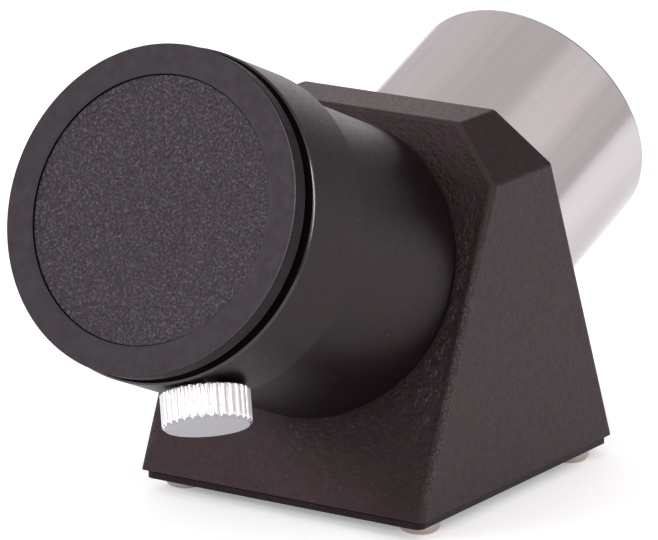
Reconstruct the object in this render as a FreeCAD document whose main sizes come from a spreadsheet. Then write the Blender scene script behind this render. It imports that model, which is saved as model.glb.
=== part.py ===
"""45-degree erecting prism diagonal, 1.25-inch fittings, as an assembly of separate pieces.

Frame of the part: millimetres, +Z up, ground plane at z = 0 under the four screw-head feet.
The two tube axes cross above the middle of the housing, at (axis_x, 0, foot_height + axis_rise).
The eyepiece axis leaves towards -X and the nosepiece axis towards +X, each 22.5 degrees above level.
Pieces turned about a tube axis are drawn in a local frame whose Z is that axis and whose origin is
the crossing of the axes, so a local Z is the distance from the crossing.
"""
import FreeCAD, Part
import math
import os
import re

import Sketcher

V = FreeCAD.Vector
doc = FreeCAD.newDocument("prism_diagonal")

# ---------------------------------------------------------------------------------------------
# Driving dimensions. Lengths in mm, angles in degrees.
# ---------------------------------------------------------------------------------------------
DIMENSIONS = [
    # frame
    ("axis_x", 7.749),
    ("foot_height", 2.5),
    ("axis_rise", 19.84),
    ("axis_tilt", 22.5),
    # housing casting
    ("housing_half_length", 21.6),
    ("housing_top_half", 4.033),
    ("housing_height", 42.41),
    ("housing_width", 38.7),
    ("top_chamfer_y", 6.3),
    ("top_chamfer_z", 6.15),
    ("housing_round", 0.7),
    ("cavity_half_length", 18.35),
    ("cavity_top_half", 1.86),
    ("cavity_height", 39.8),
    ("cavity_width", 33.5),
    ("cavity_chamfer_y", 5.2),
    ("cavity_chamfer_z", 5.08),
    ("boss_x", 13.4),
    ("boss_y", 12.9),
    ("boss_height", 7.5),
    ("foot_screw_x", 16.8),
    ("foot_screw_y", 16.1),
    ("foot_screw_hole_r", 1.27),
    ("foot_screw_hole_depth", 5.4),
    ("front_port_r", 16.55),
    ("rear_port_r", 15.05),
    ("port_start", 6.0),
    ("port_length", 12.0),
    # base plate, gasket and screws
    ("plate_half_length", 21.15),
    ("plate_half_width", 18.9),
    ("plate_corner_r", 1.0),
    ("plate_thickness", 0.75),
    ("plate_screw_clear_r", 1.45),
    ("gasket_thickness", 0.25),
    ("gasket_half_length", 20.6),
    ("gasket_half_width", 18.35),
    ("gasket_gap_x", 18.5),
    ("gasket_gap_y", 16.9),
    ("foot_head_r", 2.42),
    ("foot_head_height", 1.5),
    ("foot_head_round", 0.8),
    ("foot_shank_r", 1.25),
    ("foot_shank_length", 6.0),
    ("recess_half", 1.25),
    ("recess_slot_half", 0.25),
    ("recess_depth", 0.8),
    # prism
    ("prism_half_width", 11.0),
    ("prism_ridge_z", 3.0),
    ("prism_ridge_half", 11.911),
    ("prism_top_z", 29.25),
    ("prism_top_half", 1.038),
    ("prism_bevel", 0.25),
    # prism cell
    ("cell_half_length", 12.4),
    ("cell_half_width", 16.2),
    ("cell_top_z", 12.0),
    ("cell_groove_z", 2.43),
    ("cell_groove_half", 9.57),
    ("cell_screw_y", 13.9),
    ("cell_tap_r", 1.02),
    ("cell_tap_depth", 5.0),
    ("cell_screw_r", 1.0),
    ("cell_screw_head_r", 1.9),
    ("cell_screw_reach", 4.6),
    # roof pads
    ("pad_half_length", 6.0),
    ("pad_low_y", 6.9),
    ("pad_high_y", 8.7),
    ("pad_lift", 0.57),
    # strap over the prism
    ("strap_half_width", 3.5),
    ("strap_thickness", 0.5),
    ("strap_inner_y", 11.3),
    ("strap_foot_y", 15.9),
    ("strap_hole_r", 1.1),
    ("strap_pad_thickness", 0.6),
    ("strap_pad_half", 8.0),
    ("strap_screw_head_r", 1.9),
    ("strap_screw_head_height", 1.2),
    ("strap_screw_reach", 4.0),
    # eyepiece tube
    ("seat_dist", 12.365),
    ("tube_foot_dist", 9.2),
    ("tube_spigot_r", 16.5),
    ("tube_neck_r", 16.85),
    ("tube_neck_end", 13.55),
    ("tube_r", 17.5),
    ("tube_round", 0.9),
    ("collar_dist", 37.8),
    ("collar_r", 18.95),
    ("collar_end", 48.32),
    ("collar_bevel", 0.22),
    ("mouth_r", 16.12),
    ("mouth_dist", 44.3),
    ("socket_r", 15.9),
    ("socket_stop", 20.0),
    ("stop_lip_end", 18.6),
    ("stop_lip_r", 13.5),
    ("tube_throat_r", 14.2),
    # thumbscrew
    ("thumb_dist", 42.6),
    ("thumb_swing", 19.4),
    ("thumb_tap_r", 1.55),
    ("thumb_shank_r", 1.5),
    ("thumb_tip", 15.95),
    ("thumb_tip_r", 1.05),
    ("thumb_point", 0.45),
    ("thumb_shank_end", 22.4),
    ("knob_bore_r", 1.54),
    ("knob_bore_end", 22.45),
    ("knob_low", 19.15),
    ("knob_high", 23.15),
    ("knob_r", 5.05),
    ("knob_face_r", 4.93),
    ("knob_face_drop", 0.12),
    ("knob_heel_r", 4.95),
    ("flute_r", 0.36),
    ("flute_centre", 5.17),
    ("flute_count", 30),
    # dust cap
    ("cap_skirt_r", 15.75),
    ("cap_skirt_inner_r", 14.5),
    ("cap_skirt_end", 44.7),
    ("cap_seat", 48.35),
    ("cap_neck_r", 17.0),
    ("cap_flange_low", 49.66),
    ("cap_flange_r", 18.6),
    ("cap_flange_high", 51.65),
    ("cap_flange_round", 0.15),
    ("cap_panel_r", 15.17),
    ("cap_panel_drop", 0.25),
    ("cap_inner", 50.0),
    # nosepiece
    ("nose_foot_dist", 9.2),
    ("nose_spigot_r", 15.0),
    ("nose_r", 15.875),
    ("nose_end", 36.07),
    ("nose_round", 0.5),
    ("nose_bore_r", 13.5),
    ("nose_thread_r", 14.05),
    ("nose_thread_dist", 31.2),
    ("nose_lead_r", 14.45),
    # baffle ring screwed into the nosepiece
    ("baffle_low", 10.6),
    ("baffle_high", 12.2),
    ("baffle_r", 13.47),
    ("baffle_hole_r", 11.2),
]

dims = doc.addObject("Spreadsheet::Sheet", "Dims")
SIZE = {}
for row, (alias, number) in enumerate(DIMENSIONS, start=1):
    dims.set("A%d" % row, alias.replace("_", " "))
    dims.set("B%d" % row, repr(number))
    dims.setAlias("B%d" % row, alias)
    SIZE[alias] = float(number)
doc.recompute()


def number(text):
    """Value of a sum of products of aliases and plain numbers, such as 'a / 2 - b'."""
    total = 0.0
    for sign, term in re.findall(r"([+-]?)\s*([A-Za-z0-9_.*/ ]+)", text):
        value, divide = None, False
        for word in re.findall(r"[A-Za-z_]\w*|[0-9.]+|[*/]", term):
            if word in "*/":
                divide = word == "/"
                continue
            factor = SIZE[word] if word in SIZE else float(word)
            if value is None:
                value = factor
            else:
                value = value / factor if divide else value * factor
        total += -value if sign == "-" else value
    return total


def cells(text):
    """The same sum as an expression on the spreadsheet."""
    return re.sub(r"[A-Za-z_]\w*", lambda word: "Dims." + word.group(0), text)


def bind(obj, prop, text):
    obj.setExpression(prop, cells(text))


def new_body(name):
    body = doc.addObject("PartDesign::Body", name)
    body.Label = name
    return body


def origin_object(body, role):
    for feature in body.Origin.OriginFeatures:
        if feature.Role == role:
            return feature
    raise LookupError(role)


def new_sketch(body, name, role, lift=None):
    sketch = body.newObject("Sketcher::SketchObject", name)
    sketch.AttachmentSupport = [(origin_object(body, role), "")]
    sketch.MapMode = "FlatFace"
    if lift is not None:
        bind(sketch, "AttachmentOffset.Base.z", lift)
    return sketch


def pin_point(sketch, geometry, which, x_text, y_text):
    """Holds one point of a sketch at a pair of sums of spreadsheet cells."""
    for axis, kind, text in ((-2, "DistanceX", x_text), (-1, "DistanceY", y_text)):
        value = number(text)
        if abs(value) < 1e-9:
            sketch.addConstraint(Sketcher.Constraint("PointOnObject", geometry, which, axis))
            continue
        index = sketch.addConstraint(
            Sketcher.Constraint(kind, -1, 1, geometry, which, value)
        )
        sketch.setExpression("Constraints[%d]" % index, cells(text))


def polygon(sketch, points):
    """A closed outline through points given as pairs of sums of spreadsheet cells."""
    first = sketch.GeometryCount
    spots = [V(number(x), number(y), 0) for x, y in points]
    count = len(spots)
    for i in range(count):
        sketch.addGeometry(Part.LineSegment(spots[i], spots[(i + 1) % count]), False)
    for i in range(count):
        sketch.addConstraint(
            Sketcher.Constraint("Coincident", first + i, 2, first + (i + 1) % count, 1)
        )
    for i, (x, y) in enumerate(points):
        pin_point(sketch, first + i, 1, x, y)


def ring(sketch, x_text, y_text, r_text):
    """A circle whose centre and radius are sums of spreadsheet cells."""
    index = sketch.GeometryCount
    centre = V(number(x_text), number(y_text), 0)
    sketch.addGeometry(Part.Circle(centre, V(0, 0, 1), number(r_text)), False)
    pin_point(sketch, index, 3, x_text, y_text)
    c = sketch.addConstraint(Sketcher.Constraint("Radius", index, number(r_text)))
    sketch.setExpression("Constraints[%d]" % c, cells(r_text))


def extrude(body, kind, name, sketch, length, symmetric=False, backwards=False):
    feature = body.newObject("PartDesign::" + kind, name)
    feature.Profile = sketch
    bind(feature, "Length", length)
    feature.SideType = "Symmetric" if symmetric else "One side"
    feature.Reversed = backwards
    doc.recompute()
    return feature


def cut_checked(body, feature, least):
    """A pocket must take away at least this volume, in cubic millimetres."""
    before = feature.BaseFeature.Shape.Volume
    after = feature.Shape.Volume
    if before - after < least:
        raise RuntimeError("%s cut %.3f mm3" % (feature.Label, before - after))


def revolve(body, name, sketch):
    feature = body.newObject("PartDesign::Revolution", name)
    feature.Profile = sketch
    feature.ReferenceAxis = (sketch, ["V_Axis"])
    feature.Angle = 360
    doc.recompute()
    return feature


def edges_where(shape, test):
    return ["Edge%d" % (i + 1) for i, edge in enumerate(shape.Edges) if test(edge)]


def round_edges(body, name, base, test, radius):
    feature = body.newObject("PartDesign::Fillet", name)
    names = edges_where(base.Shape, test)
    if not names:
        raise RuntimeError("no edges for " + name)
    feature.Base = (base, names)
    bind(feature, "Radius", radius)
    doc.recompute()
    return feature


def circle_edge(r, z):
    """Picks a full circular edge by its radius and its height along the turning axis."""

    def test(edge):
        curve = edge.Curve
        return (
            isinstance(curve, Part.Circle)
            and abs(curve.Radius - r) < 1e-4
            and abs(curve.Center.z - z) < 1e-4
        )

    return test


Y_AXIS = V(0, 1, 0)


def place_level(obj):
    """Pieces that belong to the level housing: origin in the middle of its bottom edge plane."""
    bind(obj, "Placement.Base.x", "axis_x")
    bind(obj, "Placement.Base.z", "foot_height")


def place_on_axis(obj, side):
    """Turned pieces: side -1 is the eyepiece axis, +1 the nosepiece axis."""
    tilt = side * (90.0 - SIZE["axis_tilt"])
    obj.Placement = FreeCAD.Placement(V(0, 0, 0), FreeCAD.Rotation(Y_AXIS, tilt))
    bind(obj, "Placement.Base.x", "axis_x")
    bind(obj, "Placement.Base.z", "foot_height + axis_rise")


# the thumbscrew points down and to the side, square to the eyepiece axis
swing = math.radians(SIZE["thumb_swing"])
TUBE_FRAME = FreeCAD.Placement(
    V(SIZE["axis_x"], 0, SIZE["foot_height"] + SIZE["axis_rise"]),
    FreeCAD.Rotation(Y_AXIS, -(90.0 - SIZE["axis_tilt"])),
)
THUMB_FRAME = TUBE_FRAME.multiply(
    FreeCAD.Placement(
        V(0, 0, SIZE["thumb_dist"]),
        FreeCAD.Rotation(V(0, 0, 1), V(-math.cos(swing), -math.sin(swing), 0)),
    )
)

# ---------------------------------------------------------------------------------------------
# Housing: a hollow wedge casting, open below. Its two leg faces are square to the tube axes.
# ---------------------------------------------------------------------------------------------
outside = new_body("housing_outside")
sk = new_sketch(outside, "housing_side_view", "XZ_Plane")
polygon(
    sk,
    [
        ("-housing_half_length", "0"),
        ("housing_half_length", "0"),
        ("housing_top_half", "housing_height"),
        ("-housing_top_half", "housing_height"),
    ],
)
wedge = extrude(outside, "Pad", "housing_wedge", sk, "housing_width", symmetric=True)

last = wedge
for side, sign in (("right", "-"), ("left", "")):
    sk = new_sketch(outside, "top_chamfer_%s_view" % side, "YZ_Plane")
    w = sign + "housing_width / 2"
    inner = "housing_width / 2 - top_chamfer_y" if not sign else "top_chamfer_y - housing_width / 2"
    out = w + (" + 2" if not sign else " - 2")
    polygon(
        sk,
        [
            (w, "housing_height - top_chamfer_z"),
            (out, "housing_height - top_chamfer_z"),
            (out, "housing_height + 2"),
            (inner, "housing_height + 2"),
            (inner, "housing_height"),
        ],
    )
    last = extrude(outside, "Pocket", "top_chamfer_" + side, sk, "housing_half_length * 3", symmetric=True)
    cut_checked(outside, last, 100)


def not_bottom(edge):
    return edge.BoundBox.ZMax > 1e-3


last = round_edges(outside, "housing_rounding", last, not_bottom, "housing_round")

sk = new_sketch(outside, "foot_screw_holes_view", "XY_Plane")
for sx in ("", "-"):
    for sy in ("", "-"):
        ring(sk, sx + "foot_screw_x", sy + "foot_screw_y", "foot_screw_hole_r")
holes = extrude(outside, "Pocket", "foot_screw_holes", sk, "foot_screw_hole_depth", backwards=True)
cut_checked(outside, holes, 60)

inside = new_body("housing_cavity")
sk = new_sketch(inside, "cavity_side_view", "XZ_Plane")
polygon(
    sk,
    [
        ("-cavity_half_length", "0"),
        ("cavity_half_length", "0"),
        ("cavity_top_half", "cavity_height"),
        ("-cavity_top_half", "cavity_height"),
    ],
)
last = extrude(inside, "Pad", "cavity_wedge", sk, "cavity_width", symmetric=True)
for side, sign in (("right", "-"), ("left", "")):
    sk = new_sketch(inside, "cavity_chamfer_%s_view" % side, "YZ_Plane")
    w = sign + "cavity_width / 2"
    inner = "cavity_width / 2 - cavity_chamfer_y" if not sign else "cavity_chamfer_y - cavity_width / 2"
    out = w + (" + 2" if not sign else " - 2")
    polygon(
        sk,
        [
            (w, "cavity_height - cavity_chamfer_z"),
            (out, "cavity_height - cavity_chamfer_z"),
            (out, "cavity_height + 2"),
            (inner, "cavity_height + 2"),
            (inner, "cavity_height"),
        ],
    )
    last = extrude(inside, "Pocket", "cavity_chamfer_" + side, sk, "cavity_half_length * 3", symmetric=True)
    cut_checked(inside, last, 50)
# the four corner bosses that take the base plate screws are left standing in the cavity
for i, (sx, sy) in enumerate((("", ""), ("-", ""), ("", "-"), ("-", "-"))):
    sk = new_sketch(inside, "boss_view_%d" % (i + 1), "XY_Plane")
    x_out = "boss_x + 8" if not sx else "-boss_x - 8"
    y_out = "boss_y + 8" if not sy else "-boss_y - 8"
    polygon(
        sk,
        [
            (sx + "boss_x", sy + "boss_y"),
            (x_out, sy + "boss_y"),
            (x_out, y_out),
            (sx + "boss_x", y_out),
        ],
    )
    last = extrude(inside, "Pocket", "corner_boss_%d" % (i + 1), sk, "boss_height", backwards=True)
    cut_checked(inside, last, 50)

ports = []
for name, side, r in (("front_port", -1, "front_port_r"), ("rear_port", 1, "rear_port_r")):
    port = doc.addObject("Part::Cylinder", name)
    port.Label = name
    bind(port, "Radius", r)
    bind(port, "Height", "port_length")
    tilt = side * (90.0 - SIZE["axis_tilt"])
    rotation = FreeCAD.Rotation(Y_AXIS, tilt)
    # the cylinder starts port_start along its axis, clear inside the cavity
    lean = math.radians(tilt)
    port.Placement = FreeCAD.Placement(
        V(
            math.sin(lean) * SIZE["port_start"],
            0,
            SIZE["axis_rise"] + math.cos(lean) * SIZE["port_start"],
        ),
        rotation,
    )
    ports.append(port)

hollow = doc.addObject("Part::MultiFuse", "housing_hollow")
hollow.Shapes = [inside] + ports
housing = doc.addObject("Part::Cut", "housing")
housing.Label = "housing"
housing.Base = outside
housing.Tool = hollow
place_level(housing)
doc.recompute()

# ---------------------------------------------------------------------------------------------
# Base plate with its gasket, screwed to the corner bosses from below.
# ---------------------------------------------------------------------------------------------
CROSS = [
    ("gasket_gap_x", "-boss_y"), ("gasket_gap_x", "boss_y"),
    ("boss_x", "boss_y"), ("boss_x", "gasket_gap_y"),
    ("-boss_x", "gasket_gap_y"), ("-boss_x", "boss_y"),
    ("-gasket_gap_x", "boss_y"), ("-gasket_gap_x", "-boss_y"),
    ("-boss_x", "-boss_y"), ("-boss_x", "-gasket_gap_y"),
    ("boss_x", "-gasket_gap_y"), ("boss_x", "-boss_y"),
]


def rectangle(sketch, half_x, half_y):
    polygon(
        sketch,
        [
            ("-" + half_x, "-" + half_y),
            (half_x, "-" + half_y),
            (half_x, half_y),
            ("-" + half_x, half_y),
        ],
    )


def upright(edge):
    box = edge.BoundBox
    return box.XLength < 1e-4 and box.YLength < 1e-4


gasket = new_body("base_gasket")
sk = new_sketch(gasket, "gasket_view", "XY_Plane", "-gasket_thickness")
rectangle(sk, "gasket_half_length", "gasket_half_width")
last = extrude(gasket, "Pad", "gasket_sheet", sk, "gasket_thickness")
last = round_edges(gasket, "gasket_corners", last, upright, "plate_corner_r")
sk = new_sketch(gasket, "gasket_opening_view", "XY_Plane")
polygon(sk, CROSS)
last = extrude(gasket, "Pocket", "gasket_opening", sk, "gasket_thickness * 4", symmetric=True)
cut_checked(gasket, last, 100)
sk = new_sketch(gasket, "gasket_holes_view", "XY_Plane")
for sx in ("", "-"):
    for sy in ("", "-"):
        ring(sk, sx + "foot_screw_x", sy + "foot_screw_y", "plate_screw_clear_r")
last = extrude(gasket, "Pocket", "gasket_holes", sk, "gasket_thickness * 4", symmetric=True)
cut_checked(gasket, last, 4)
place_level(gasket)

plate = new_body("base_plate")
sk = new_sketch(plate, "plate_view", "XY_Plane", "-gasket_thickness - plate_thickness")
rectangle(sk, "plate_half_length", "plate_half_width")
last = extrude(plate, "Pad", "plate_sheet", sk, "plate_thickness")
last = round_edges(plate, "plate_corners", last, upright, "plate_corner_r")
sk = new_sketch(plate, "plate_holes_view", "XY_Plane")
for sx in ("", "-"):
    for sy in ("", "-"):
        ring(sk, sx + "foot_screw_x", sy + "foot_screw_y", "plate_screw_clear_r")
last = extrude(plate, "Pocket", "plate_holes", sk, "plate_thickness * 6", symmetric=True)
cut_checked(plate, last, 15)
# conical seats for the two countersunk cell screws
for i, sy in enumerate(("", "-")):
    sk = new_sketch(plate, "cell_screw_seat_view_%d" % (i + 1), "XY_Plane", "-gasket_thickness - plate_thickness")
    ring(sk, "0", sy + "cell_screw_y", "cell_screw_head_r + 0.03")
    seat = extrude(plate, "Pocket", "cell_screw_seat_%d" % (i + 1), sk, "plate_thickness * 1.0", backwards=True)
    seat.TaperAngle = -50.0
    seat.Type = "Length"
    doc.recompute()
    cut_checked(plate, seat, 3)
place_level(plate)
doc.recompute()

# pan-head screws that also serve as feet; the head's flat end is the resting surface
foot = new_body("foot_screw")
sk = new_sketch(foot, "foot_screw_profile", "XZ_Plane")
polygon(
    sk,
    [
        ("0", "0"),
        ("foot_head_r", "0"),
        ("foot_head_r", "foot_head_height"),
        ("foot_shank_r", "foot_head_height"),
        ("foot_shank_r", "foot_head_height + foot_shank_length"),
        ("0", "foot_head_height + foot_shank_length"),
    ],
)
last = revolve(foot, "foot_screw_turned", sk)
last = round_edges(
    foot, "foot_head_rounding", last, circle_edge(SIZE["foot_head_r"], 0.0), "foot_head_round"
)
sk = new_sketch(foot, "cross_recess_view", "XY_Plane")
polygon(
    sk,
    [
        ("recess_half", "-recess_slot_half"), ("recess_half", "recess_slot_half"),
        ("recess_slot_half", "recess_slot_half"), ("recess_slot_half", "recess_half"),
        ("-recess_slot_half", "recess_half"), ("-recess_slot_half", "recess_slot_half"),
        ("-recess_half", "recess_slot_half"), ("-recess_half", "-recess_slot_half"),
        ("-recess_slot_half", "-recess_slot_half"), ("-recess_slot_half", "-recess_half"),
        ("recess_slot_half", "-recess_half"), ("recess_slot_half", "-recess_slot_half"),
    ],
)
last = extrude(foot, "Pocket", "cross_recess", sk, "recess_depth", backwards=True)
cut_checked(foot, last, 1.0)
bind(foot, "Placement.Base.x", "foot_screw_x")
bind(foot, "Placement.Base.y", "foot_screw_y")


def mirrored(source, name, normal):
    copy = doc.addObject("Part::Mirroring", name)
    copy.Source = source
    copy.Base = V(0, 0, 0)
    copy.Normal = normal
    return copy


foot_b = mirrored(foot, "foot_screw_b", V(1, 0, 0))
doc.recompute()
foot_c = mirrored(foot, "foot_screw_c", V(0, 1, 0))
foot_d = mirrored(foot_b, "foot_screw_d", V(0, 1, 0))
doc.recompute()
feet = doc.addObject("Part::Compound", "base_plate_screws")
feet.Label = "base_plate_screws"
feet.Links = [foot, foot_b, foot_c, foot_d]
bind(feet, "Placement.Base.x", "axis_x")
doc.recompute()

# ---------------------------------------------------------------------------------------------
# Erecting prism: entrance and exit faces square to the tube axes, roof along the bottom.
# ---------------------------------------------------------------------------------------------
prism = new_body("prism")
sk = new_sketch(prism, "prism_side_view", "XZ_Plane")
polygon(
    sk,
    [
        ("-prism_ridge_half", "prism_ridge_z"),
        ("prism_ridge_half", "prism_ridge_z"),
        ("prism_top_half", "prism_top_z"),
        ("-prism_top_half", "prism_top_z"),
    ],
)
last = extrude(prism, "Pad", "prism_wedge", sk, "prism_half_width * 2", symmetric=True)
for side, sign in (("right", "-"), ("left", "")):
    sk = new_sketch(prism, "roof_%s_view" % side, "YZ_Plane")
    polygon(
        sk,
        [
            ("0", "prism_ridge_z"),
            ("0", "prism_ridge_z - 2"),
            (sign + "prism_half_width" + (" + 2" if not sign else " - 2"), "prism_ridge_z - 2"),
            (
                sign + "prism_half_width" + (" + 2" if not sign else " - 2"),
                "prism_ridge_z + prism_half_width + 2",
            ),
        ],
    )
    last = extrude(prism, "Pocket", "roof_" + side, sk, "prism_ridge_half * 3", symmetric=True)
    cut_checked(prism, last, 300)
place_level(prism)

# ---------------------------------------------------------------------------------------------
# Prism cell: moulded block on the base plate with a V seat for the roof of the prism.
# ---------------------------------------------------------------------------------------------
cell = new_body("prism_cell")
sk = new_sketch(cell, "cell_view", "XY_Plane", "-gasket_thickness")
rectangle(sk, "cell_half_length", "cell_half_width")
last = extrude(cell, "Pad", "cell_block", sk, "cell_top_z + gasket_thickness")
sk = new_sketch(cell, "seat_view", "YZ_Plane")
polygon(
    sk,
    [
        ("0", "cell_groove_z"),
        ("cell_groove_half + 2", "cell_top_z + 2"),
        ("-cell_groove_half - 2", "cell_top_z + 2"),
    ],
)
last = extrude(cell, "Pocket", "prism_seat", sk, "cell_half_length * 3", symmetric=True)
cut_checked(cell, last, 1000)
# corners cut back to clear the bosses of the housing
for i, (sx, sy) in enumerate((("", ""), ("-", ""), ("", "-"), ("-", "-"))):
    sk = new_sketch(cell, "cell_corner_view_%d" % (i + 1), "XY_Plane", "-gasket_thickness")
    x_in = sx + "cell_half_length" + (" - 2.5" if not sx else " + 2.5")
    x_out = sx + "cell_half_length" + (" + 1" if not sx else " - 1")
    y_in = sy + "cell_half_width" + (" - 3.8" if not sy else " + 3.8")
    y_out = sy + "cell_half_width" + (" + 1" if not sy else " - 1")
    polygon(sk, [(x_in, y_in), (x_out, y_in), (x_out, y_out), (x_in, y_out)])
    last = extrude(cell, "Pocket", "cell_corner_%d" % (i + 1), sk, "cell_top_z * 1.5", backwards=True)
    cut_checked(cell, last, 50)
sk = new_sketch(cell, "cell_screw_holes_view", "XY_Plane", "-gasket_thickness")
ring(sk, "0", "cell_screw_y", "cell_tap_r")
ring(sk, "0", "-cell_screw_y", "cell_tap_r")
last = extrude(cell, "Pocket", "cell_screw_holes", sk, "cell_tap_depth", backwards=True)
cut_checked(cell, last, 20)
sk = new_sketch(cell, "strap_screw_holes_view", "XY_Plane", "cell_top_z")
ring(sk, "0", "cell_screw_y", "cell_tap_r")
ring(sk, "0", "-cell_screw_y", "cell_tap_r")
last = extrude(cell, "Pocket", "strap_screw_holes", sk, "cell_tap_depth")
cut_checked(cell, last, 20)
place_level(cell)

# countersunk screws, base plate into cell
csk = new_body("cell_screw")
sk = new_sketch(csk, "cell_screw_profile", "XZ_Plane")
polygon(
    sk,
    [
        ("0", "-gasket_thickness - plate_thickness + 0.02"),
        ("cell_screw_head_r", "-gasket_thickness - plate_thickness + 0.02"),
        ("cell_screw_r", "-gasket_thickness - 0.02"),
        ("cell_screw_r", "cell_screw_reach - gasket_thickness"),
        ("0", "cell_screw_reach - gasket_thickness"),
    ],
)
last = revolve(csk, "cell_screw_turned", sk)
bind(csk, "Placement.Base.y", "cell_screw_y")
csk_b = mirrored(csk, "cell_screw_b", V(0, 1, 0))
doc.recompute()
csks = doc.addObject("Part::Compound", "cell_screws")
csks.Label = "cell_screws"
csks.Links = [csk, csk_b]
place_level(csks)

# thin cork strips between the roof faces and the seat
for name, sign in (("roof_pad_left", ""), ("roof_pad_right", "-")):
    pad = new_body(name)
    sk = new_sketch(pad, name + "_view", "YZ_Plane")
    low = "prism_ridge_z + pad_low_y"
    high = "prism_ridge_z + pad_high_y"
    polygon(
        sk,
        [
            (sign + "pad_low_y", low),
            (sign + "pad_high_y", high),
            (sign + "pad_high_y", high + " - pad_lift"),
            (sign + "pad_low_y", low + " - pad_lift"),
        ],
    )
    extrude(pad, "Pad", name + "_strip", sk, "pad_half_length * 2", symmetric=True)
    place_level(pad)

# ---------------------------------------------------------------------------------------------
# Spring strap over the prism, its pad and its two screws.
# ---------------------------------------------------------------------------------------------
strap = new_body("prism_strap")
sk = new_sketch(strap, "strap_view", "YZ_Plane")
under = "prism_top_z + strap_pad_thickness"
over = "prism_top_z + strap_pad_thickness + strap_thickness"
polygon(
    sk,
    [
        ("strap_foot_y", "cell_top_z"),
        ("strap_foot_y", "cell_top_z + strap_thickness"),
        ("strap_inner_y + strap_thickness", "cell_top_z + strap_thickness"),
        ("strap_inner_y + strap_thickness", over),
        ("-strap_inner_y - strap_thickness", over),
        ("-strap_inner_y - strap_thickness", "cell_top_z + strap_thickness"),
        ("-strap_foot_y", "cell_top_z + strap_thickness"),
        ("-strap_foot_y", "cell_top_z"),
        ("-strap_inner_y", "cell_top_z"),
        ("-strap_inner_y", under),
        ("strap_inner_y", under),
        ("strap_inner_y", "cell_top_z"),
    ],
)
last = extrude(strap, "Pad", "strap_sheet", sk, "strap_half_width * 2", symmetric=True)
sk = new_sketch(strap, "strap_holes_view", "XY_Plane", "cell_top_z")
ring(sk, "0", "cell_screw_y", "strap_hole_r")
ring(sk, "0", "-cell_screw_y", "strap_hole_r")
last = extrude(strap, "Pocket", "strap_holes", sk, "strap_thickness * 4", symmetric=True)
cut_checked(strap, last, 1.0)
place_level(strap)

strap_pad = new_body("strap_pad")
sk = new_sketch(strap_pad, "strap_pad_view", "YZ_Plane")
polygon(
    sk,
    [
        ("-strap_pad_half", "prism_top_z"),
        ("strap_pad_half", "prism_top_z"),
        ("strap_pad_half", under),
        ("-strap_pad_half", under),
    ],
)
extrude(strap_pad, "Pad", "strap_pad_strip", sk, "prism_top_half * 2", symmetric=True)
place_level(strap_pad)

cheese = new_body("strap_screw")
sk = new_sketch(cheese, "strap_screw_profile", "XZ_Plane")
polygon(
    sk,
    [
        ("0", "cell_top_z + strap_thickness - strap_screw_reach"),
        ("cell_screw_r", "cell_top_z + strap_thickness - strap_screw_reach"),
        ("cell_screw_r", "cell_top_z + strap_thickness"),
        ("strap_screw_head_r", "cell_top_z + strap_thickness"),
        ("strap_screw_head_r", "cell_top_z + strap_thickness + strap_screw_head_height"),
        ("0", "cell_top_z + strap_thickness + strap_screw_head_height"),
    ],
)
last = revolve(cheese, "strap_screw_turned", sk)
bind(cheese, "Placement.Base.y", "cell_screw_y")
cheese_b = mirrored(cheese, "strap_screw_b", V(0, 1, 0))
doc.recompute()
strap_screws = doc.addObject("Part::Compound", "strap_screws")
strap_screws.Label = "strap_screws"
strap_screws.Links = [cheese, cheese_b]
place_level(strap_screws)

# ---------------------------------------------------------------------------------------------
# Eyepiece tube: spigot through the front wall, plain tube, thick collar with the socket.
# ---------------------------------------------------------------------------------------------
turned = new_body("eyepiece_tube_turned")
sk = new_sketch(turned, "eyepiece_tube_profile", "XZ_Plane")
polygon(
    sk,
    [
        ("tube_throat_r", "tube_foot_dist"),
        ("tube_spigot_r", "tube_foot_dist"),
        ("tube_spigot_r", "seat_dist"),
        ("tube_neck_r", "seat_dist"),
        ("tube_neck_r", "tube_neck_end"),
        ("tube_r", "tube_neck_end"),
        ("tube_r", "collar_dist"),
        ("collar_r", "collar_dist"),
        ("collar_r", "collar_end - collar_bevel"),
        ("collar_r - collar_bevel", "collar_end"),
        ("mouth_r", "collar_end"),
        ("mouth_r", "mouth_dist"),
        ("socket_r", "mouth_dist"),
        ("socket_r", "socket_stop"),
        ("stop_lip_r", "socket_stop"),
        ("stop_lip_r", "stop_lip_end"),
        ("tube_throat_r", "stop_lip_end"),
    ],
)
last = revolve(turned, "eyepiece_tube_lathe", sk)
last = round_edges(
    turned,
    "eyepiece_tube_heel",
    last,
    lambda e: isinstance(e.Curve, Part.Circle)
    and abs(e.Curve.Radius - SIZE["tube_r"]) < 1e-4
    and abs(e.Curve.Center.z - SIZE["tube_neck_end"]) < 1e-3,
    "tube_neck_end - seat_dist - 0.55",
)
place_on_axis(turned, -1)

tap = doc.addObject("Part::Cylinder", "thumbscrew_tap")
tap.Label = "thumbscrew_tap"
bind(tap, "Radius", "thumb_tap_r")
tap.Height = 8.0
tap.Placement = THUMB_FRAME.multiply(FreeCAD.Placement(V(0, 0, 13.0), FreeCAD.Rotation()))
tube = doc.addObject("Part::Cut", "eyepiece_tube")
tube.Label = "eyepiece_tube"
tube.Base = turned
tube.Tool = tap
doc.recompute()

# ---------------------------------------------------------------------------------------------
# Thumbscrew: a plain shank with a turned tip and a fluted knob pressed on its outer end.
# ---------------------------------------------------------------------------------------------
shank = new_body("thumbscrew_shank")
sk = new_sketch(shank, "shank_profile", "XZ_Plane")
polygon(
    sk,
    [
        ("0", "thumb_tip"),
        ("thumb_tip_r", "thumb_tip"),
        ("thumb_shank_r", "thumb_tip + thumb_point"),
        ("thumb_shank_r", "thumb_shank_end"),
        ("0", "thumb_shank_end"),
    ],
)
revolve(shank, "shank_lathe", sk)
shank.Placement = THUMB_FRAME

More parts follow.
